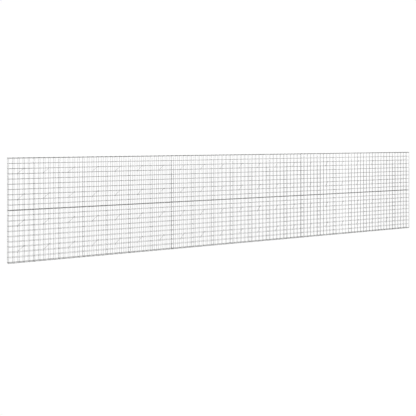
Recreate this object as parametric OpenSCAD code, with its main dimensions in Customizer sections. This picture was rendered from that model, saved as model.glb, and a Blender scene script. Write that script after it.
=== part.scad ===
// Gabion wall of empty welded mesh baskets, two tiers high, with base, covers, dividers and crossties.
// Millimetres. X runs along the wall, Y from its front to its back and Z up. The origin is under its middle.

/* [Wall] */
// Number of long baskets side by side
baskets = 3; // [1:1:4]
// Number of bays in one long basket
basket_bays = 7; // [2:1:8]
// Length of one bay, from divider to divider
bay_length = 500; // [300:20:800]
// Height of one tier of baskets
tier_height = 1000; // [600:20:1400]
// Depth of the wall, over its outermost wires
wall_depth = 120; // [90:5:300]

/* [Mesh] */
// Diameter of the round wire whose section area each bar has
wire_d = 4.5; // [3:0.1:6]
// Size that the mesh cells are made to, as nearly as they divide a bay and a tier
cell_size = 100; // [80:5:125]
// Depth that welded wires press into each other
weld_sink = 0.5; // [0.3:0.1:0.6]
// Gap between pieces that are clipped to each other
clearance = 0.3; // [0.2:0.1:0.6]

/* [Crossties] */
// Distance along the wall from the middle of a bay to each hook of its crossties
tie_reach = 85; // [70:5:105]
// Length of a hook below the row wire that it holds
hook_drop = 14; // [8:1:25]

/* [Hidden] */
// Wires are bars of four sides, with a ridge or a flat towards what they are welded to.
bar_sides = 4;
bar_r = wire_d / 2 * sqrt(2 * PI / (bar_sides * sin(360 / bar_sides)));
bar_w = 2 * bar_r;
bar_flat = bar_w * cos(180 / bar_sides);

// Cells
bay_cells = round(bay_length / cell_size);
rows = round(tier_height / cell_size);
basket_cells = basket_bays * bay_cells;
basket_pitch = basket_bays * bay_length;
basket_length = basket_pitch - clearance;
panel_height = tier_height - clearance;
cell_x = (basket_length - bar_w) / basket_cells;
cell_z = (panel_height - bar_w) / rows;

// Distances of the wires from the middle of the depth
infill_y = wall_depth / 2 - bar_r;
border_y = infill_y - bar_w + weld_sink;
bay_wire_y = infill_y - weld_sink - clearance;
row_y = bay_wire_y - bar_w + weld_sink;
divider_y = row_y - bar_w - clearance;
rung_step = bar_w - weld_sink;
hook_y = row_y + bar_w + clearance;

// Heights
long_wire_z = bar_flat + bar_r - weld_sink;
strip_height = long_wire_z + bar_r;
tier_z = [strip_height + clearance, strip_height + clearance + tier_height];
cover_top = tier_z[1] + tier_height + strip_height;

// Crossties lie over the lower row wire in front and over the next row wire behind.
tie_slope = cell_z / (2 * hook_y);
hook_rise = (bar_w + clearance) * (sqrt(1 + pow(tie_slope, 2)) + tie_slope);
low_tie_row = round(rows / 4 - 0.5);
tie_rows = [low_tie_row, rows - 1 - low_tie_row];

zinc = [0.66, 0.68, 0.7];
TIERS = ["lower", "upper"];
SIDES = ["left", "right"];
BASKET_PANELS = ["front_panel", "back_panel", "dividers", "crossties"];

// Left end of basket b and middle of one of its wires
function basket_x(b) = (b - 1 - baskets / 2) * basket_pitch + clearance / 2;
function wire_x(b, i) = basket_x(b) + bar_r + i * cell_x;

// Middle of the uprights of a divider: at bay wire j of basket b, or beside the seam to the next
// basket, with the rungs on the seam
function divider_x(b, j) =
    j == basket_bays ? (b - baskets / 2) * basket_pitch + rung_step : wire_x(b, j * bay_cells);
function row_z(t, k) = tier_z[t] + bar_r + k * cell_z;

// Bar that runs up from the origin, with ridges towards X and Y
module bar(length) {
    cylinder(r = bar_r, h = length, $fn = bar_sides);
}

// Bar between two points
module bar_between(from, to) {
    run = to - from;
    translate(from)
        rotate([0, acos(run[2] / norm(run)), atan2(run[1], run[0])])
            bar(norm(run));
}

// Upright mesh panel in front of the middle plane: rows inside, uprights outside.
// The bay wires are welded to every row. The infill wires between them are welded to the
// bottom and top rows, and pass the other rows at the clearance.
module mesh_panel(b, t) {
    for (i = [0:basket_cells])
        translate([wire_x(b, i), i % bay_cells == 0 ? -bay_wire_y : -infill_y, tier_z[t]])
            bar(panel_height);
    for (k = [0:rows])
        translate([basket_x(b), k % rows == 0 ? -border_y : -row_y, row_z(t, k)])
            rotate([0, 90, 0])
                bar(basket_length);
}

// Flat strip of mesh that lies level: cross wires below with their flats down, long wires on them
module level_strip(b) {
    for (side = [-1, 1])
        translate([basket_x(b), side * border_y, long_wire_z])
            rotate([0, 90, 0])
                bar(basket_length);
    for (i = [0:basket_cells])
        translate([wire_x(b, i), -wall_depth / 2, bar_flat / 2])
            rotate([-90, 0, 0])
                rotate(180 / bar_sides)
                    bar(wall_depth);
}

// Divider or end panel: two uprights just inside the rows, with a rung at each row on the side
// towards `rung_side`
module ladder(x, t, rung_side) {
    for (side = [-1, 1])
        translate([x, side * divider_y, tier_z[t]])
            bar(panel_height);
    for (k = [0:rows])
        translate([x + rung_side * rung_step, -divider_y - bar_r, row_z(t, k)])
            rotate([-90, 0, 0])
                bar(wall_depth - 2 * (wall_depth / 2 - divider_y - bar_r));
}

// Bent wire with a hook over a front row wire and a hook over the back row wire one cell higher
module crosstie(x, z) {
    front = [x - tie_reach, -hook_y, z];
    back = [x + tie_reach, hook_y, z + cell_z];
    crown = [0, 0, hook_rise];
    drop = [0, 0, -hook_drop];
    bar_between(front + drop, front + crown);
    bar_between(front + crown, back + crown);
    bar_between(back + drop, back + crown);
}

module base_panel(b) {
    color(zinc) level_strip(b);
}

module cover(b) {
    color(zinc) translate([0, 0, cover_top]) mirror([0, 0, 1]) level_strip(b);
}

module front_panel(b, t) {
    color(zinc) mesh_panel(b, t);
}

module back_panel(b, t) {
    color(zinc) mirror([0, 1, 0]) mesh_panel(b, t);
}

// Dividers of a basket: one at the end of each bay, except at the right end of the wall
module dividers(b, t) {
    last = b < baskets ? basket_bays : basket_bays - 1;
    color(zinc)
        for (j = [1:last])
            ladder(divider_x(b, j), t, -1);
}

module end_panel_left(t) {
    color(zinc) ladder(wire_x(1, 0), t, 1);
}

module end_panel_right(t) {
    color(zinc) ladder(wire_x(baskets, basket_cells), t, -1);
}

// Crossties of a basket: two in each bay
module crossties(b, t) {
    color(zinc)
        for (j = [0:basket_bays - 1], k = tie_rows)
            crosstie((wire_x(b, j * bay_cells) + wire_x(b, (j + 1) * bay_cells)) / 2, row_z(t, k));
}

for (b = [1:baskets]) {
    base_panel(b);
    cover(b);
    for (t = [0, 1]) {
        front_panel(b, t);
        back_panel(b, t);
        dividers(b, t);
        crossties(b, t);
    }
}
for (t = [0, 1]) {
    end_panel_left(t);
    end_panel_right(t);
}
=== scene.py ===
"""Gabion wall of empty welded mesh baskets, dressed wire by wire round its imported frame.

Lengths are in metres. X runs along the wall, Y from its front to its back and Z up.
"""

import logging
import math
from dataclasses import dataclass, field
from enum import Enum
from typing import Iterable, Iterator, Sequence

import bmesh
import bpy
from mathutils import Matrix, Vector


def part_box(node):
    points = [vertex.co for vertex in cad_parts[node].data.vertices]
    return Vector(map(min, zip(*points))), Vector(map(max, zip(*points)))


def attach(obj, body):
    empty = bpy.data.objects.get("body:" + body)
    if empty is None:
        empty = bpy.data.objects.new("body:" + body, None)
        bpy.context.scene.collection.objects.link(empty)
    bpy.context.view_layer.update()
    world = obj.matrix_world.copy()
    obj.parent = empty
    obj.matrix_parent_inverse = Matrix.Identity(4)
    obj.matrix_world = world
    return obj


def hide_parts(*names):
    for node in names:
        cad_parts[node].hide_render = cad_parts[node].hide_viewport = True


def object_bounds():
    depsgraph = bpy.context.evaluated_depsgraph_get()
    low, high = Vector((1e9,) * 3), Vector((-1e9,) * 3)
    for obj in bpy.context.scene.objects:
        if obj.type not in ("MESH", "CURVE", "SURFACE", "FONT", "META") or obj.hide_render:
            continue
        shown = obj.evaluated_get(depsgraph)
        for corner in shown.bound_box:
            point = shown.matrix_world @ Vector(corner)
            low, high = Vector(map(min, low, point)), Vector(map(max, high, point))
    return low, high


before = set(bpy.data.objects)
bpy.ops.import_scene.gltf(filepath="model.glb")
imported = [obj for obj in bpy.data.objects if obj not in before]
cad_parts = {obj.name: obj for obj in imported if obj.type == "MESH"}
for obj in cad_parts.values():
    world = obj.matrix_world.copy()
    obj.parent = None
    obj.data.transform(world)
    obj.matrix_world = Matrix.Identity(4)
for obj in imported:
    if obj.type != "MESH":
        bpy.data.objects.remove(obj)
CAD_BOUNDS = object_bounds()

LOG = logging.getLogger("gabion_wall")
BODY = "root"
UP = Vector((0.0, 0.0, 1.0))
ALONG = Vector((1.0, 0.0, 0.0))
ACROSS = Vector((0.0, 1.0, 0.0))


class Side(Enum):
    """The two long faces of the wall, with the sign of their Y."""

    FRONT = -1
    BACK = 1


class Tier(Enum):
    """The two tiers of baskets, by the word in their nodes' names."""

    LOWER = "lower"
    UPPER = "upper"


class Skin(Enum):
    """The finishes of a welded piece, by their places in its list of materials."""

    WIRE = 0
    WELD = 1
    BAY_WIRE = 2


# ---------------------------------------------------------------- finishes


@dataclass(frozen=True)
class ZincFinish:
    """A hot-dip galvanised skin, with spangle, cloudy patches and fine runs.

    Attributes:
        name: Name of the material.
        dark: Colour of the dull patches.
        light: Colour of the bright patches.
        roughness: Lowest and highest roughness.
        spangle: Width of one zinc crystal.
        patch: Width of one cloudy patch.
        patch_share: Share of the patches in the colour, beside the crystals.
        span: Places of the dull and the bright colour in the pattern's range.
        runs: Fine runs in a metre.
        run_depth: Depth of the runs.
        relief: Strength of the runs' bump.
        metal: How far the skin shines as metal.
    """

    name: str
    dark: tuple[float, float, float]
    light: tuple[float, float, float]
    roughness: tuple[float, float] = (0.38, 0.62)
    spangle: float = 0.0022
    patch: float = 0.11
    patch_share: float = 0.55
    span: tuple[float, float] = (0.28, 0.74)
    runs: float = 900.0
    run_depth: float = 0.0003
    relief: float = 0.25
    metal: float = 0.72

    def material(self) -> bpy.types.Material:
        """Builds the material's nodes.

        Returns:
            The finished material.
        """
        mat = bpy.data.materials.new(self.name)
        mat.use_nodes = True
        nodes, links = mat.node_tree.nodes, mat.node_tree.links
        shader = nodes["Principled BSDF"]
        shader.inputs["Metallic"].default_value = self.metal
        place = nodes.new("ShaderNodeTexCoord").outputs["Object"]

        crystals = nodes.new("ShaderNodeTexVoronoi")
        crystals.inputs["Scale"].default_value = 1.0 / self.spangle
        links.new(place, crystals.inputs["Vector"])
        clouds = nodes.new("ShaderNodeTexNoise")
        clouds.inputs["Scale"].default_value = 1.0 / self.patch
        clouds.inputs["Detail"].default_value = 4.0
        links.new(place, clouds.inputs["Vector"])

        blend = nodes.new("ShaderNodeMix")
        blend.data_type = "FLOAT"
        blend.inputs["Factor"].default_value = self.patch_share
        links.new(crystals.outputs["Color"], blend.inputs["A"])
        links.new(clouds.outputs["Fac"], blend.inputs["B"])

        tone = nodes.new("ShaderNodeValToRGB")
        for stop, position, colour in zip(tone.color_ramp.elements, self.span, (self.dark, self.light)):
            stop.position, stop.color = position, (*colour, 1.0)
        links.new(blend.outputs["Result"], tone.inputs["Fac"])
        links.new(tone.outputs["Color"], shader.inputs["Base Color"])

        gloss = nodes.new("ShaderNodeMapRange")
        gloss.inputs["To Min"].default_value = self.roughness[0]
        gloss.inputs["To Max"].default_value = self.roughness[1]
        links.new(blend.outputs["Result"], gloss.inputs["Value"])
        links.new(gloss.outputs["Result"], shader.inputs["Roughness"])

        runs = nodes.new("ShaderNodeTexNoise")
        runs.inputs["Scale"].default_value = self.runs
        runs.inputs["Detail"].default_value = 3.0
        links.new(place, runs.inputs["Vector"])
        bump = nodes.new("ShaderNodeBump")
        bump.inputs["Strength"].default_value = self.relief
        bump.inputs["Distance"].default_value = self.run_depth
        links.new(runs.outputs["Fac"], bump.inputs["Height"])
        links.new(bump.outputs["Normal"], shader.inputs["Normal"])
        return mat


WIRE_ZINC = ZincFinish("zinc_wire", (0.28, 0.28, 0.28), (0.48, 0.48, 0.48))
BAY_ZINC = ZincFinish("zinc_bay_wire", (0.58, 0.58, 0.58), (0.88, 0.88, 0.88), (0.32, 0.54))
WELD_ZINC = ZincFinish("zinc_weld", (0.18, 0.18, 0.18), (0.34, 0.34, 0.34), (0.5, 0.75))
CLIP_ZINC = ZincFinish("zinc_clip", (0.34, 0.34, 0.34), (0.56, 0.56, 0.56), (0.3, 0.5))


# ---------------------------------------------------------------- wire work


@dataclass(frozen=True)
class Gauge:
    """Sizes of the welded wire.

    Attributes:
        diameter: Diameter of the round wire.
        sides: Sides of the wire's mesh.
        set_down: Distance between the middles of two welded wires, in diameters.
        end_chamfer: Width of the chamfer round a cut end.
        weld_size: Half width and half thickness of a weld's nugget, in diameters.
    """

    diameter: float = 0.0045
    sides: int = 10
    set_down: float = 0.85
    end_chamfer: float = 0.0004
    weld_size: tuple[float, float] = (0.72, 0.42)

    @property
    def radius(self) -> float:
        """Radius of the wire."""
        return self.diameter / 2

    @property
    def weld_pitch(self) -> float:
        """Distance between the middles of two wires that are welded."""
        return self.diameter * self.set_down


class WireWork:
    """Collects the wires and welds of one piece in a single mesh.

    Attributes:
        RIM_ANGLE: Angle between two faces past which their edge is the rim of a cut end.
    """

    RIM_ANGLE: float = math.radians(80)

    def __init__(self, name: str, gauge: Gauge) -> None:
        """Starts an empty piece.

        Args:
            name: Name of the piece.
            gauge: Sizes of its wire.
        """
        self.name = name
        self.gauge = gauge
        self.mesh = bmesh.new()

    @staticmethod
    def dress(corners: Sequence[bmesh.types.BMVert], skin: Skin) -> None:
        """Gives the faces round some vertices a finish.

        Args:
            corners: The vertices.
            skin: The finish.
        """
        for corner in corners:
            for face in corner.link_faces:
                face.material_index = skin.value

    def straight(self, start: Vector, end: Vector, skin: Skin = Skin.WIRE) -> None:
        """Adds a straight wire with square cut ends.

        Args:
            start: Middle of one end.
            end: Middle of the other end.
            skin: Finish of the wire.
        """
        run = end - start
        turn = run.to_track_quat("Z", "Y").to_matrix().to_4x4()
        made = bmesh.ops.create_cone(
            self.mesh, cap_ends=True, cap_tris=False, segments=self.gauge.sides,
            radius1=self.gauge.radius, radius2=self.gauge.radius, depth=run.length,
            matrix=Matrix.Translation((start + end) / 2) @ turn,
        )
        self.dress(made["verts"], skin)

    def weld(self, at: Vector, normal: Vector) -> None:
        """Adds the flattened nugget where two wires are welded.

        Args:
            at: Middle of the joint.
            normal: Direction from one wire to the other.
        """
        width, depth = (self.gauge.diameter * share for share in self.gauge.weld_size)
        turn = normal.to_track_quat("Z", "Y").to_matrix().to_4x4()
        made = bmesh.ops.create_icosphere(
            self.mesh, subdivisions=1, radius=1.0,
            matrix=Matrix.Translation(at) @ turn @ Matrix.Diagonal((width, width, depth, 1.0)),
        )
        self.dress(made["verts"], Skin.WELD)

    def swept(self, path: Sequence[Vector], radius: float, sides: int) -> list[bmesh.types.BMVert]:
        """Adds a bent wire along a path.

        Args:
            path: Points along the middle of the wire.
            radius: Radius of the wire.
            sides: Sides of its mesh.

        Returns:
            All vertices of the bent wire.
        """
        steps = [(b - a).normalized() for a, b in zip(path, path[1:])]
        facing = [steps[0]] + [(a + b).normalized() for a, b in zip(steps, steps[1:])] + [steps[-1]]
        turn = facing[0].to_track_quat("Z", "Y")
        stand = Matrix.Translation(path[0]) @ turn.to_matrix().to_4x4()
        ring = bmesh.ops.create_circle(self.mesh, cap_ends=True, segments=sides, radius=radius, matrix=stand)
        made = list(ring["verts"])
        edges = list({edge for corner in made for edge in corner.link_edges})
        for point, before, after in zip(path[1:], facing, facing[1:]):
            turn = before.rotation_difference(after) @ turn
            goal = Matrix.Translation(point) @ turn.to_matrix().to_4x4()
            grown = bmesh.ops.extrude_edge_only(self.mesh, edges=edges)["geom"]
            corners = [part for part in grown if isinstance(part, bmesh.types.BMVert)]
            edges = [part for part in grown if isinstance(part, bmesh.types.BMEdge)]
            bmesh.ops.transform(self.mesh, matrix=goal @ stand.inverted(), verts=corners)
            made += corners
            stand = goal
        bmesh.ops.edgeloop_fill(self.mesh, edges=edges)
        return made

    def place(self, part: bpy.types.Mesh, places: Sequence[Matrix]) -> None:
        """Adds copies of a small finished mesh.

        Args:
            part: The mesh, round its own origin.
            places: Turn and place of each copy.
        """
        for place in places:
            copy = part.copy()
            copy.transform(place)
            self.mesh.from_mesh(copy)
            bpy.data.meshes.remove(copy)

    def chamfer_ends(self) -> None:
        """Chamfers the cut ends of the wires."""
        cut_rims = [
            edge for edge in self.mesh.edges
            if len(edge.link_faces) == 2 and edge.calc_face_angle(0.0) > self.RIM_ANGLE
        ]
        bmesh.ops.bevel(
            self.mesh, geom=cut_rims, offset=self.gauge.end_chamfer, segments=1,
            profile=0.5, affect="EDGES", material=-1,
        )

    def finish(self, materials: Sequence[bpy.types.Material]) -> bpy.types.Mesh:
        """Shades and dresses the mesh.

        Args:
            materials: Finishes, in the order of Skin.

        Returns:
            The finished mesh.
        """
        bmesh.ops.recalc_face_normals(self.mesh, faces=self.mesh.faces)
        for face in self.mesh.faces:
            face.smooth = len(face.verts) <= 4
        data = bpy.data.meshes.new(self.name)
        self.mesh.to_mesh(data)
        self.mesh.free()
        for material in materials:
            data.materials.append(material)
        return data


def hang(data: bpy.types.Mesh, name: str, nodes: Sequence[str], shift: Vector = Vector()) -> bpy.types.Object:
    """Makes a piece of a mesh, or of a moved copy of it, and hangs it on the frame.

    Args:
        data: The finished mesh.
        name: Name of the piece.
        nodes: Nodes of the frame that the piece stands for.
        shift: Way from the mesh to its copy.

    Returns:
        The finished piece.
    """
    if data.users:
        data = data.copy()
        data.transform(Matrix.Translation(shift))
    data.name = name
    piece = bpy.data.objects.new(name, data)
    bpy.context.scene.collection.objects.link(piece)
    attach(piece, BODY)
    if nodes:
        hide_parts(*nodes)
    LOG.info("%s: %d triangles", name, sum(len(face.vertices) - 2 for face in data.polygons))
    return piece


def repeat(data: bpy.types.Mesh, node: str, first: str) -> bpy.types.Object:
    """Hangs a copy of a mesh in place of a node that is like the one it was made for.

    Args:
        data: The finished mesh.
        node: Node that the copy stands for.
        first: Node that the mesh was made for.

    Returns:
        The finished piece.
    """
    return hang(data, f"{node}_mesh", [node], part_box(node)[0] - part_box(first)[0])


# ---------------------------------------------------------------- the wall


@dataclass
class Lattice:
    """Where the wires of the wall lie, worked out from the frame.

    Attributes:
        gauge: Sizes of the wire.
        baskets: Long baskets side by side.
        basket_bays: Bays in one basket.
        bay_cells: Cells in one bay.
        rows: Rows of cells in one tier.
        clip_gap: Gap between wires that are clipped together.
        bay_inset: Depth by which the bay wires lie behind the wires between them.
        floor: Height of the underside of the wall.
        top: Height of its top.
        upright_y: Distance of the upright wires from the middle of the depth.
        bay_wire_y: The same of the bay wires.
        row_y: The same of the rows.
        divider_y: The same of the dividers' uprights.
    """

    gauge: Gauge = field(default_factory=Gauge)
    baskets: int = 3
    basket_bays: int = 7
    bay_cells: int = 5
    rows: int = 10
    clip_gap: float = 0.0003
    bay_inset: float = 0.0008
    floor: float = field(init=False)
    top: float = field(init=False)
    upright_y: float = field(init=False)
    bay_wire_y: float = field(init=False)
    row_y: float = field(init=False)
    divider_y: float = field(init=False)

    def __post_init__(self) -> None:
        """Reads the outer sizes of the wall and its panels from the frame."""
        low, high = CAD_BOUNDS
        self.floor, self.top = low.z, high.z
        self.upright_y = (high.y - low.y) / 2 - self.gauge.radius
        self.bay_wire_y = self.upright_y - self.bay_inset
        self.row_y = (self.upright_y + self.bay_wire_y) / 2 - self.gauge.weld_pitch
        self.divider_y = self.row_y - self.gauge.diameter - self.clip_gap

    @property
    def basket_cells(self) -> int:
        """Cells along one basket."""
        return self.basket_bays * self.bay_cells

    def span_x(self, basket: int) -> tuple[float, float]:
        """Left and right end of a basket."""
        low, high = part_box(f"front_panel_lower_{basket}")
        return low.x, high.x

    def span_z(self, tier: Tier) -> tuple[float, float]:
        """Bottom and top of a tier's panels."""
        low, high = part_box(f"front_panel_{tier.value}_1")
        return low.z, high.z

    def wire_x(self, basket: int, index: int) -> float:
        """Finds an upright wire of a basket.

        Args:
            basket: Number of the basket.
            index: Number of the wire, from 0 at the left.

        Returns:
            Place of its middle along the wall.
        """
        left, right = self.span_x(basket)
        pitch = (right - left - self.gauge.diameter) / self.basket_cells
        return left + self.gauge.radius + index * pitch

    def row_z(self, tier: Tier, index: int) -> float:
        """Finds a row wire of a tier.

        Args:
            tier: Tier of the row.
            index: Number of the row, from 0 at the bottom.

        Returns:
            Height of its middle.
        """
        bottom, top = self.span_z(tier)
        pitch = (top - bottom - self.gauge.diameter) / self.rows
        return bottom + self.gauge.radius + index * pitch

    def strip_z(self, is_cover: bool) -> tuple[float, float]:
        """Finds the wires of the base or the cover.

        Args:
            is_cover: True for the cover.

        Returns:
            Height of the middle of the cross wires and of the long wires.
        """
        edge, into = (self.top, -1) if is_cover else (self.floor, 1)
        cross = edge + into * self.gauge.radius
        return cross, cross + into * self.gauge.weld_pitch

    def divider_x(self, basket: int, bay: int) -> float:
        """Finds the divider at the right end of a bay, which has its rungs on the seam if there is one.

        Args:
            basket: Number of the basket.
            bay: Number of the bay in it, from 1.

        Returns:
            Place of the middle of its uprights along the wall.
        """
        if bay < self.basket_bays:
            return self.wire_x(basket, bay * self.bay_cells)
        return (self.span_x(basket)[1] + self.span_x(basket + 1)[0]) / 2 + self.gauge.weld_pitch


@dataclass
class UprightPanel:
    """A mesh panel of the front or the back: rows inside, uprights outside.

    Attributes:
        lattice: Places of the wires.
        side: Face of the wall.
        tier: Tier that the panel belongs to.
        basket: Number of its basket.
    """

    lattice: Lattice
    side: Side
    tier: Tier
    basket: int

    @property
    def node(self) -> str:
        """Name of the frame's node."""
        return f"{self.side.name.lower()}_panel_{self.tier.value}_{self.basket}"

    def build(self, materials: Sequence[bpy.types.Material]) -> bpy.types.Mesh:
        """Builds the wires and welds.

        Args:
            materials: Finishes, in the order of Skin.

        Returns:
            The finished mesh.
        """
        lat = self.lattice
        work = WireWork(f"{self.node}_mesh", lat.gauge)
        sign = self.side.value
        left, right = lat.span_x(self.basket)
        bottom, top = lat.span_z(self.tier)
        uprights = [
            (lat.wire_x(self.basket, i), lat.bay_wire_y, Skin.BAY_WIRE) if i % lat.bay_cells == 0
            else (lat.wire_x(self.basket, i), lat.upright_y, Skin.WIRE)
            for i in range(lat.basket_cells + 1)
        ]
        for x, y, skin in uprights:
            work.straight(Vector((x, sign * y, bottom)), Vector((x, sign * y, top)), skin)
        for k in range(lat.rows + 1):
            z = lat.row_z(self.tier, k)
            work.straight(Vector((left, sign * lat.row_y, z)), Vector((right, sign * lat.row_y, z)))
            for x, y, _ in uprights:
                work.weld(Vector((x, sign * (y + lat.row_y) / 2, z)), ACROSS)
        work.chamfer_ends()
        return work.finish(materials)


@dataclass
class LevelStrip:
    """A mesh strip that lies level: the base of a basket, or its cover.

    Attributes:
        lattice: Places of the wires.
        basket: Number of its basket.
        is_cover: True for the cover, which has its cross wires on top.
    """

    lattice: Lattice
    basket: int
    is_cover: bool

    @property
    def node(self) -> str:
        """Name of the frame's node."""
        return f"cover_{self.basket}" if self.is_cover else f"base_panel_{self.basket}"

    def build(self, materials: Sequence[bpy.types.Material]) -> bpy.types.Mesh:
        """Builds the wires and welds.

        Args:
            materials: Finishes, in the order of Skin.

        Returns:
            The finished mesh.
        """
        lat = self.lattice
        work = WireWork(f"{self.node}_mesh", lat.gauge)
        left, right = lat.span_x(self.basket)
        half = lat.upright_y + lat.gauge.radius
        cross_z, long_z = lat.strip_z(self.is_cover)
        for sign in (-1, 1):
            work.straight(Vector((left, sign * lat.row_y, long_z)), Vector((right, sign * lat.row_y, long_z)))
        for i in range(lat.basket_cells + 1):
            x = lat.wire_x(self.basket, i)
            work.straight(Vector((x, -half, cross_z)), Vector((x, half, cross_z)))
            for sign in (-1, 1):
                work.weld(Vector((x, sign * lat.row_y, (cross_z + long_z) / 2)), UP)
        work.chamfer_ends()
        return work.finish(materials)


@dataclass
class Ladders:
    """Dividers or an end panel: uprights just inside the rows, with a rung at each row.

    Attributes:
        lattice: Places of the wires.
        node: Name of the frame's node.
        tier: Tier that the ladders stand in.
        places: Places of the ladders along the wall.
        rung_side: Side of the uprights that the rungs are welded to.
    """

    lattice: Lattice
    node: str
    tier: Tier
    places: Sequence[float]
    rung_side: int = -1

    def build(self, materials: Sequence[bpy.types.Material]) -> bpy.types.Mesh:
        """Builds the wires and welds.

        Args:
            materials: Finishes, in the order of Skin.

        Returns:
            The finished mesh.
        """
        lat = self.lattice
        work = WireWork(f"{self.node}_mesh", lat.gauge)
        bottom, top = lat.span_z(self.tier)
        half = lat.divider_y + lat.gauge.radius
        for x in self.places:
            rung_x = x + self.rung_side * lat.gauge.weld_pitch
            for sign in (-1, 1):
                y = sign * lat.divider_y
                work.straight(Vector((x, y, bottom)), Vector((x, y, top)), Skin.BAY_WIRE)
            for k in range(lat.rows + 1):
                z = lat.row_z(self.tier, k)
                work.straight(Vector((rung_x, -half, z)), Vector((rung_x, half, z)), Skin.BAY_WIRE)
                for sign in (-1, 1):
                    work.weld(Vector(((x + rung_x) / 2, sign * lat.divider_y, z)), ALONG)
        work.chamfer_ends()
        return work.finish(materials)


@dataclass
class Crossties:
    """Bent wires from the front mesh to the back mesh, two in each bay.

    Attributes:
        lattice: Places of the wires.
        tier: Tier that the ties hold.
        basket: Number of their basket.
        reach: Distance along the wall from the middle of the bay to each hook.
        drop: Length of a hook below its row wire.
        bend: Radius of the bends.
        hold_rows: Row wires in front that the ties hold.
    """

    lattice: Lattice
    tier: Tier
    basket: int
    reach: float = 0.085
    drop: float = 0.014
    bend: float = 0.0045
    hold_rows: tuple[int, ...] = (2, 7)

    @property
    def node(self) -> str:
        """Name of the frame's node."""
        return f"crossties_{self.tier.value}_{self.basket}"

    def rounded(self, corners: Sequence[Vector], steps: int = 4) -> list[Vector]:
        """Rounds the inner corners of a path.

        Args:
            corners: Points of the path.
            steps: Points in each bend, less one.

        Returns:
            The path with an arc at each inner corner.
        """
        path = [corners[0]]
        for before, corner, after in zip(corners, corners[1:], corners[2:]):
            into, out = (before - corner).normalized(), (after - corner).normalized()
            half = into.angle(out) / 2
            cut = self.bend / math.tan(half)
            middle = corner + (into + out).normalized() * (self.bend / math.sin(half))
            first = (corner + into * cut - middle).normalized()
            last = (corner + out * cut - middle).normalized()
            path += [middle + first.slerp(last, s / steps) * self.bend for s in range(steps + 1)]
        return path + [corners[-1]]

    def build(self, materials: Sequence[bpy.types.Material]) -> bpy.types.Mesh:
        """Builds the ties.

        Args:
            materials: Finishes, in the order of Skin.

        Returns:
            The finished mesh.
        """
        lat = self.lattice
        work = WireWork(f"{self.node}_mesh", lat.gauge)
        hook_y = lat.row_y + lat.gauge.diameter + lat.clip_gap
        for bay in range(lat.basket_bays):
            ends = [lat.wire_x(self.basket, (bay + n) * lat.bay_cells) for n in (0, 1)]
            middle = sum(ends) / 2
            for row in self.hold_rows:
                low, high = lat.row_z(self.tier, row), lat.row_z(self.tier, row + 1)
                slope = (high - low) / (2 * hook_y)
                rise = UP * (lat.gauge.diameter + lat.clip_gap) * (math.hypot(1.0, slope) + slope)
                front = Vector((middle - self.reach, -hook_y, low))
                back = Vector((middle + self.reach, hook_y, high))
                corners = [front - UP * self.drop, front + rise, back + rise, back - UP * self.drop]
                work.swept(self.rounded(corners), lat.gauge.radius, lat.gauge.sides)
        work.chamfer_ends()
        return work.finish(materials)


@dataclass(frozen=True)
class WirePair:
    """Two wires side by side that a ring clip holds.

    Attributes:
        first: Middle of one wire at the ring.
        second: Middle of the other wire at the ring.
        run: Direction of both wires.
    """

    first: Vector
    second: Vector
    run: Vector

    @property
    def span(self) -> float:
        """Distance between the middles of the wires."""
        return (self.second - self.first).length

    @property
    def place(self) -> Matrix:
        """Place of a ring that is long along X and looks along Z."""
        long = (self.second - self.first).normalized()
        turn = Matrix((long, self.run.cross(long), self.run)).transposed()
        return Matrix.Translation((self.first + self.second) / 2) @ turn.to_4x4()


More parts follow.
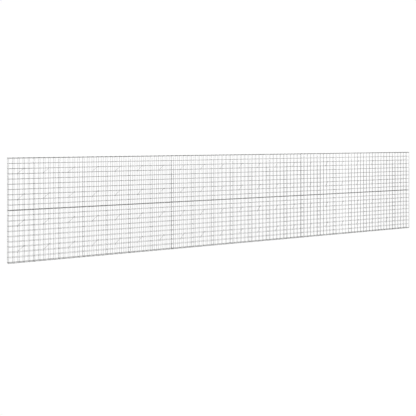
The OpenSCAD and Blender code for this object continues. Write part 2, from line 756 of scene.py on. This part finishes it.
@dataclass
class Joints:
    """Pairs of wires at the joints between the panels of the wall.

    Attributes:
        lattice: Places of the wires.
        every: Cells from one ring of a joint to the next.
    """

    lattice: Lattice
    every: int = 2

    def mid_rows(self, tier: Tier) -> list[float]:
        """Finds the rings on upright wires.

        Args:
            tier: Tier of the wires.

        Returns:
            Height of each ring.
        """
        lat = self.lattice
        return [
            (lat.row_z(tier, row) + lat.row_z(tier, row + 1)) / 2
            for row in range(0, lat.rows, self.every)
        ]

    def level(self, tier: Tier, basket: int) -> Iterator[WirePair]:
        """Finds joints along the wall: base and tier joint for the lower tier, cover for the upper one.

        Args:
            tier: Tier that the joints belong to.
            basket: Number of the basket.

        Yields:
            One pair for each ring.
        """
        lat = self.lattice
        if tier is Tier.LOWER:
            heights = [
                (lat.strip_z(False)[1], lat.row_z(Tier.LOWER, 0)),
                (lat.row_z(Tier.LOWER, lat.rows), lat.row_z(Tier.UPPER, 0)),
            ]
        else:
            heights = [(lat.row_z(Tier.UPPER, lat.rows), lat.strip_z(True)[1])]
        for low, high in heights:
            for side in Side:
                for cell in range(0, lat.basket_cells, self.every):
                    x = (lat.wire_x(basket, cell) + lat.wire_x(basket, cell + 1)) / 2
                    y = side.value * lat.row_y
                    yield WirePair(Vector((x, y, low)), Vector((x, y, high)), ALONG * -side.value)

    def bays(self, tier: Tier, basket: int) -> Iterator[WirePair]:
        """Finds joints between bay wires and the uprights of the dividers inside a basket.

        Args:
            tier: Tier of the wires.
            basket: Number of the basket.

        Yields:
            One pair for each ring.
        """
        lat = self.lattice
        for bay in range(1, lat.basket_bays):
            yield from self.upright(tier, lat.wire_x(basket, bay * lat.bay_cells), lat.divider_x(basket, bay))

    def ends(self, tier: Tier) -> Iterator[WirePair]:
        """Finds joints of uprights at the two ends of the wall and at the seams between baskets.

        Args:
            tier: Tier of the wires.

        Yields:
            One pair for each ring.
        """
        lat = self.lattice
        for basket, wire in ((1, 0), (lat.baskets, lat.basket_cells)):
            x = lat.wire_x(basket, wire)
            yield from self.upright(tier, x, x)
        for basket in range(1, lat.baskets):
            before, after = lat.wire_x(basket, lat.basket_cells), lat.wire_x(basket + 1, 0)
            yield from self.upright(tier, after, lat.divider_x(basket, lat.basket_bays))
            for side in Side:
                y = side.value * lat.bay_wire_y
                for z in self.mid_rows(tier):
                    z += (lat.row_z(tier, 1) - lat.row_z(tier, 0)) * (self.every // 2)
                    yield WirePair(Vector((before, y, z)), Vector((after, y, z)), UP * side.value)

    def upright(self, tier: Tier, outer_x: float, inner_x: float) -> Iterator[WirePair]:
        """Finds pairs of a bay wire and the divider's upright behind it, on both faces.

        Args:
            tier: Tier of the wires.
            outer_x: Place of the bay wire along the wall.
            inner_x: Place of the divider's upright along the wall.

        Yields:
            One pair for each ring.
        """
        lat = self.lattice
        for side in Side:
            for z in self.mid_rows(tier):
                outer = Vector((outer_x, side.value * lat.bay_wire_y, z))
                inner = Vector((inner_x, side.value * lat.divider_y, z))
                yield WirePair(outer, inner, UP)


@dataclass
class RingClips:
    """Rings of wire pinched shut round pairs of wires.

    Attributes:
        name: Name of the piece.
        gauge: Sizes of the wires in the rings.
        pairs: Wires that the rings hold.
        wire: Diameter of a ring's wire.
        slack: Gap between a ring and the wires in it.
        mouth: Gap between a ring's ends.
        sides: Sides of a ring's mesh.
        bend_steps: Segments in each of its round ends.
    """

    name: str
    gauge: Gauge
    pairs: Iterable[WirePair]
    wire: float = 0.0022
    slack: float = 0.0001
    mouth: float = 0.0012
    sides: int = 5
    bend_steps: int = 3

    def ring(self, span: float) -> bpy.types.Mesh:
        """Builds one ring round the origin, long along X, with its mouth towards -Y.

        Args:
            span: Distance between the middles of the two wires in it.

        Returns:
            The ring's mesh.
        """
        reach = self.gauge.radius + self.slack + self.wire / 2
        path = [Vector((self.mouth / 2, -reach, 0.0))]
        for end, start in ((1, -90), (-1, 90)):
            middle = ALONG * (end * span / 2)
            for step in range(self.bend_steps + 1):
                turn = math.radians(start + 180 * step / self.bend_steps)
                path.append(middle + Vector((math.cos(turn), math.sin(turn), 0.0)) * reach)
        path.append(Vector((-self.mouth / 2, -reach, 0.0)))
        work = WireWork("ring", self.gauge)
        work.swept(path, self.wire / 2, self.sides)
        return work.finish([])

    def build(self, materials: Sequence[bpy.types.Material]) -> bpy.types.Mesh:
        """Builds the rings.

        Args:
            materials: Finish of the rings.

        Returns:
            The finished mesh.
        """
        work = WireWork(self.name, self.gauge)
        places: dict[float, list[Matrix]] = {}
        for pair in self.pairs:
            places.setdefault(round(pair.span, 5), []).append(pair.place)
        for span, group in places.items():
            work.place(self.ring(span), group)
        return work.finish(materials)


@dataclass
class Wall:
    """The whole wall, hung piece by piece on its frame.

    Attributes:
        lattice: Places of the wires.
        skins: Finishes of the welded pieces, in the order of Skin.
        clip: Finish of the ring clips.
    """

    lattice: Lattice
    skins: Sequence[bpy.types.Material]
    clip: bpy.types.Material

    @property
    def baskets(self) -> range:
        """Numbers of the baskets."""
        return range(1, self.lattice.baskets + 1)

    def strips(self) -> None:
        """Hangs the base panels and the covers."""
        for is_cover in (False, True):
            first = LevelStrip(self.lattice, 1, is_cover)
            mesh = first.build(self.skins[:2])
            for basket in self.baskets:
                repeat(mesh, LevelStrip(self.lattice, basket, is_cover).node, first.node)

    def panels(self) -> None:
        """Hangs the mesh panels of the front and the back."""
        for side in Side:
            first = UprightPanel(self.lattice, side, Tier.LOWER, 1)
            mesh = first.build(self.skins)
            for tier in Tier:
                for basket in self.baskets:
                    repeat(mesh, UprightPanel(self.lattice, side, tier, basket).node, first.node)

    def ladders(self, node: str, tier: Tier, places: Sequence[float], rung_side: int = -1) -> None:
        """Hangs the ladders of one node.

        Args:
            node: Name of the frame's node.
            tier: Tier that the ladders stand in.
            places: Places of the ladders along the wall.
            rung_side: Side of the uprights that the rungs are welded to.
        """
        mesh = Ladders(self.lattice, node, tier, places, rung_side).build(self.skins)
        hang(mesh, f"{node}_mesh", [node])

    def dividers(self, tier: Tier) -> None:
        """Hangs the dividers of a tier, one at the end of each bay but the last.

        Args:
            tier: The tier.
        """
        for basket in self.baskets:
            last = self.lattice.basket_bays + (0 if basket == self.lattice.baskets else 1)
            places = [self.lattice.divider_x(basket, bay) for bay in range(1, last)]
            self.ladders(f"dividers_{tier.value}_{basket}", tier, places)

    def crossties(self, tier: Tier) -> None:
        """Hangs the crossties of a tier.

        Args:
            tier: The tier.
        """
        first = Crossties(self.lattice, tier, 1)
        mesh = first.build(self.skins[:1])
        for basket in self.baskets:
            repeat(mesh, Crossties(self.lattice, tier, basket).node, first.node)

    def end_panels(self, tier: Tier) -> None:
        """Hangs the two end panels of a tier, with their rungs inside.

        Args:
            tier: The tier.
        """
        left = self.lattice.wire_x(1, 0)
        right = self.lattice.wire_x(self.lattice.baskets, self.lattice.basket_cells)
        for name, x, rung_side in (("left", left, 1), ("right", right, -1)):
            self.ladders(f"end_panel_{name}_{tier.value}", tier, [x], rung_side)

    def ring_clips(self, tier: Tier) -> None:
        """Hangs the ring clips of a tier: the baskets' own, and those at the ends and seams.

        Args:
            tier: The tier.
        """
        lat, joints = self.lattice, Joints(self.lattice)
        pairs = [*joints.level(tier, 1), *joints.bays(tier, 1)]
        rings = RingClips(f"ring_clips_{tier.value}_1", lat.gauge, pairs).build([self.clip])
        for basket in self.baskets:
            shift = ALONG * (lat.wire_x(basket, 0) - lat.wire_x(1, 0))
            hang(rings, f"ring_clips_{tier.value}_{basket}", [], shift)
        name = f"ring_clips_{tier.value}_ends"
        hang(RingClips(name, lat.gauge, joints.ends(tier)).build([self.clip]), name, [])

    def build(self) -> None:
        """Hangs all pieces, in order."""
        self.strips()
        self.panels()
        for tier in Tier:
            self.dividers(tier)
            self.crossties(tier)
            self.end_panels(tier)
            self.ring_clips(tier)


# ---------------------------------------------------------------- studio


@dataclass(frozen=True)
class Softbox:
    """A flat soft light that the camera doesn't see.

    Attributes:
        name: Name of the light.
        place: Middle of its face.
        aim: Point that it faces.
        size: Width and depth of its face.
        power: Power, in watts.
    """

    name: str
    place: tuple[float, float, float]
    aim: tuple[float, float, float]
    size: tuple[float, float]
    power: float

    def hang(self) -> None:
        """Adds the light to the scene."""
        lamp = bpy.data.lights.new(self.name, "AREA")
        lamp.shape, lamp.energy = "RECTANGLE", self.power
        lamp.size, lamp.size_y = self.size
        box = bpy.data.objects.new(self.name, lamp)
        box.location = self.place
        facing = Vector(self.aim) - Vector(self.place)
        box.rotation_euler = facing.to_track_quat("-Z", "Y").to_euler()
        box.visible_camera = False
        bpy.context.scene.collection.objects.link(box)


@dataclass
class Studio:
    """Pale floor, soft light and camera.

    Attributes:
        eye: Place of the camera.
        heading: Turn of the level camera about Z, in degrees.
        lens: Focal length, in millimetres on a 36 mm frame.
        rise: Vertical shift of the frame.
        sight: Distance past which the camera sees nothing.
        floor_reach: Half the width of the floor.
        floor_tone: Grey of the floor, as the light meets it.
        ambient: Strength of the light from all round.
        backdrop: Brightness of the white behind and below the wall, as the camera sees it.
        contrast: Display gamma, under 1 so that fine wires stay distinct on white.
        softboxes: Lights over the wall.
    """

    eye: tuple[float, float, float] = (-8.305, -13.161, 2.40)
    heading: float = -29.48
    lens: float = 58.8
    rise: float = -0.169
    sight: float = 200.0
    floor_reach: float = 150.0
    floor_tone: float = 0.8
    ambient: float = 0.38
    backdrop: float = 1.01
    contrast: float = 0.8
    softboxes: tuple[Softbox, ...] = (
        Softbox("overhead_softbox", (0.0, -0.8, 4.0), (0.0, 0.0, 0.8), (12.0, 3.0), 190.0),
        Softbox("right_softbox", (5.0, -1.5, 3.6), (3.5, 0.0, 1.0), (5.0, 3.0), 25.0),
    )

    def camera(self) -> None:
        """Adds the level camera and makes it the scene's own."""
        data = bpy.data.cameras.new("camera")
        data.lens, data.sensor_width, data.shift_y = self.lens, 36.0, self.rise
        data.clip_end = self.sight
        camera = bpy.data.objects.new("camera", data)
        camera.location = self.eye
        camera.rotation_euler = (math.radians(90), 0.0, math.radians(self.heading))
        bpy.context.scene.collection.objects.link(camera)
        bpy.context.scene.camera = camera

    def floor(self) -> None:
        """Adds the plain pale floor."""
        plate = bmesh.new()
        bmesh.ops.create_grid(plate, x_segments=1, y_segments=1, size=self.floor_reach)
        data = bpy.data.meshes.new("floor")
        plate.to_mesh(data)
        plate.free()
        ground = bpy.data.objects.new("floor", data)
        bpy.context.scene.collection.objects.link(ground)
        paint = bpy.data.materials.new("pale_floor")
        paint.use_nodes = True
        nodes, links = paint.node_tree.nodes, paint.node_tree.links
        shader = nodes["Principled BSDF"]
        shader.inputs["Base Color"].default_value = (self.floor_tone, self.floor_tone, self.floor_tone, 1.0)
        shader.inputs["Roughness"].default_value = 1.0
        shader.inputs["Specular IOR Level"].default_value = 0.0
        glow = nodes.new("ShaderNodeEmission")
        glow.inputs["Strength"].default_value = self.backdrop
        mix = nodes.new("ShaderNodeMixShader")
        links.new(nodes.new("ShaderNodeLightPath").outputs["Is Camera Ray"], mix.inputs["Fac"])
        links.new(shader.outputs["BSDF"], mix.inputs[1])
        links.new(glow.outputs["Emission"], mix.inputs[2])
        links.new(mix.outputs["Shader"], nodes["Material Output"].inputs["Surface"])
        data.materials.append(paint)

    def light(self) -> None:
        """Adds the white backdrop, the soft light from all round and the softboxes."""
        scene = bpy.context.scene
        world = bpy.data.worlds.new("white_studio")
        world.use_nodes = True
        nodes, links = world.node_tree.nodes, world.node_tree.links
        glow = nodes["Background"]
        glow.inputs["Color"].default_value = (1.0, 1.0, 1.0, 1.0)
        glow.inputs["Strength"].default_value = self.ambient
        backdrop = nodes.new("ShaderNodeBackground")
        backdrop.inputs["Color"].default_value = (1.0, 1.0, 1.0, 1.0)
        backdrop.inputs["Strength"].default_value = self.backdrop
        mix = nodes.new("ShaderNodeMixShader")
        links.new(nodes.new("ShaderNodeLightPath").outputs["Is Camera Ray"], mix.inputs["Fac"])
        links.new(glow.outputs["Background"], mix.inputs[1])
        links.new(backdrop.outputs["Background"], mix.inputs[2])
        links.new(mix.outputs["Shader"], nodes["World Output"].inputs["Surface"])
        scene.world = world
        for softbox in self.softboxes:
            softbox.hang()
        scene.view_settings.view_transform = "Standard"
        scene.view_settings.gamma = self.contrast


def main() -> None:
    """Builds the studio and the wall."""
    logging.basicConfig(level=logging.INFO, format="%(name)s: %(message)s")
    studio = Studio()
    studio.camera()
    studio.floor()
    studio.light()
    skins = [finish.material() for finish in (WIRE_ZINC, WELD_ZINC, BAY_ZINC)]
    Wall(Lattice(), skins, CLIP_ZINC.material()).build()
    bpy.context.view_layer.update()


if __name__ == "__main__":
    main()
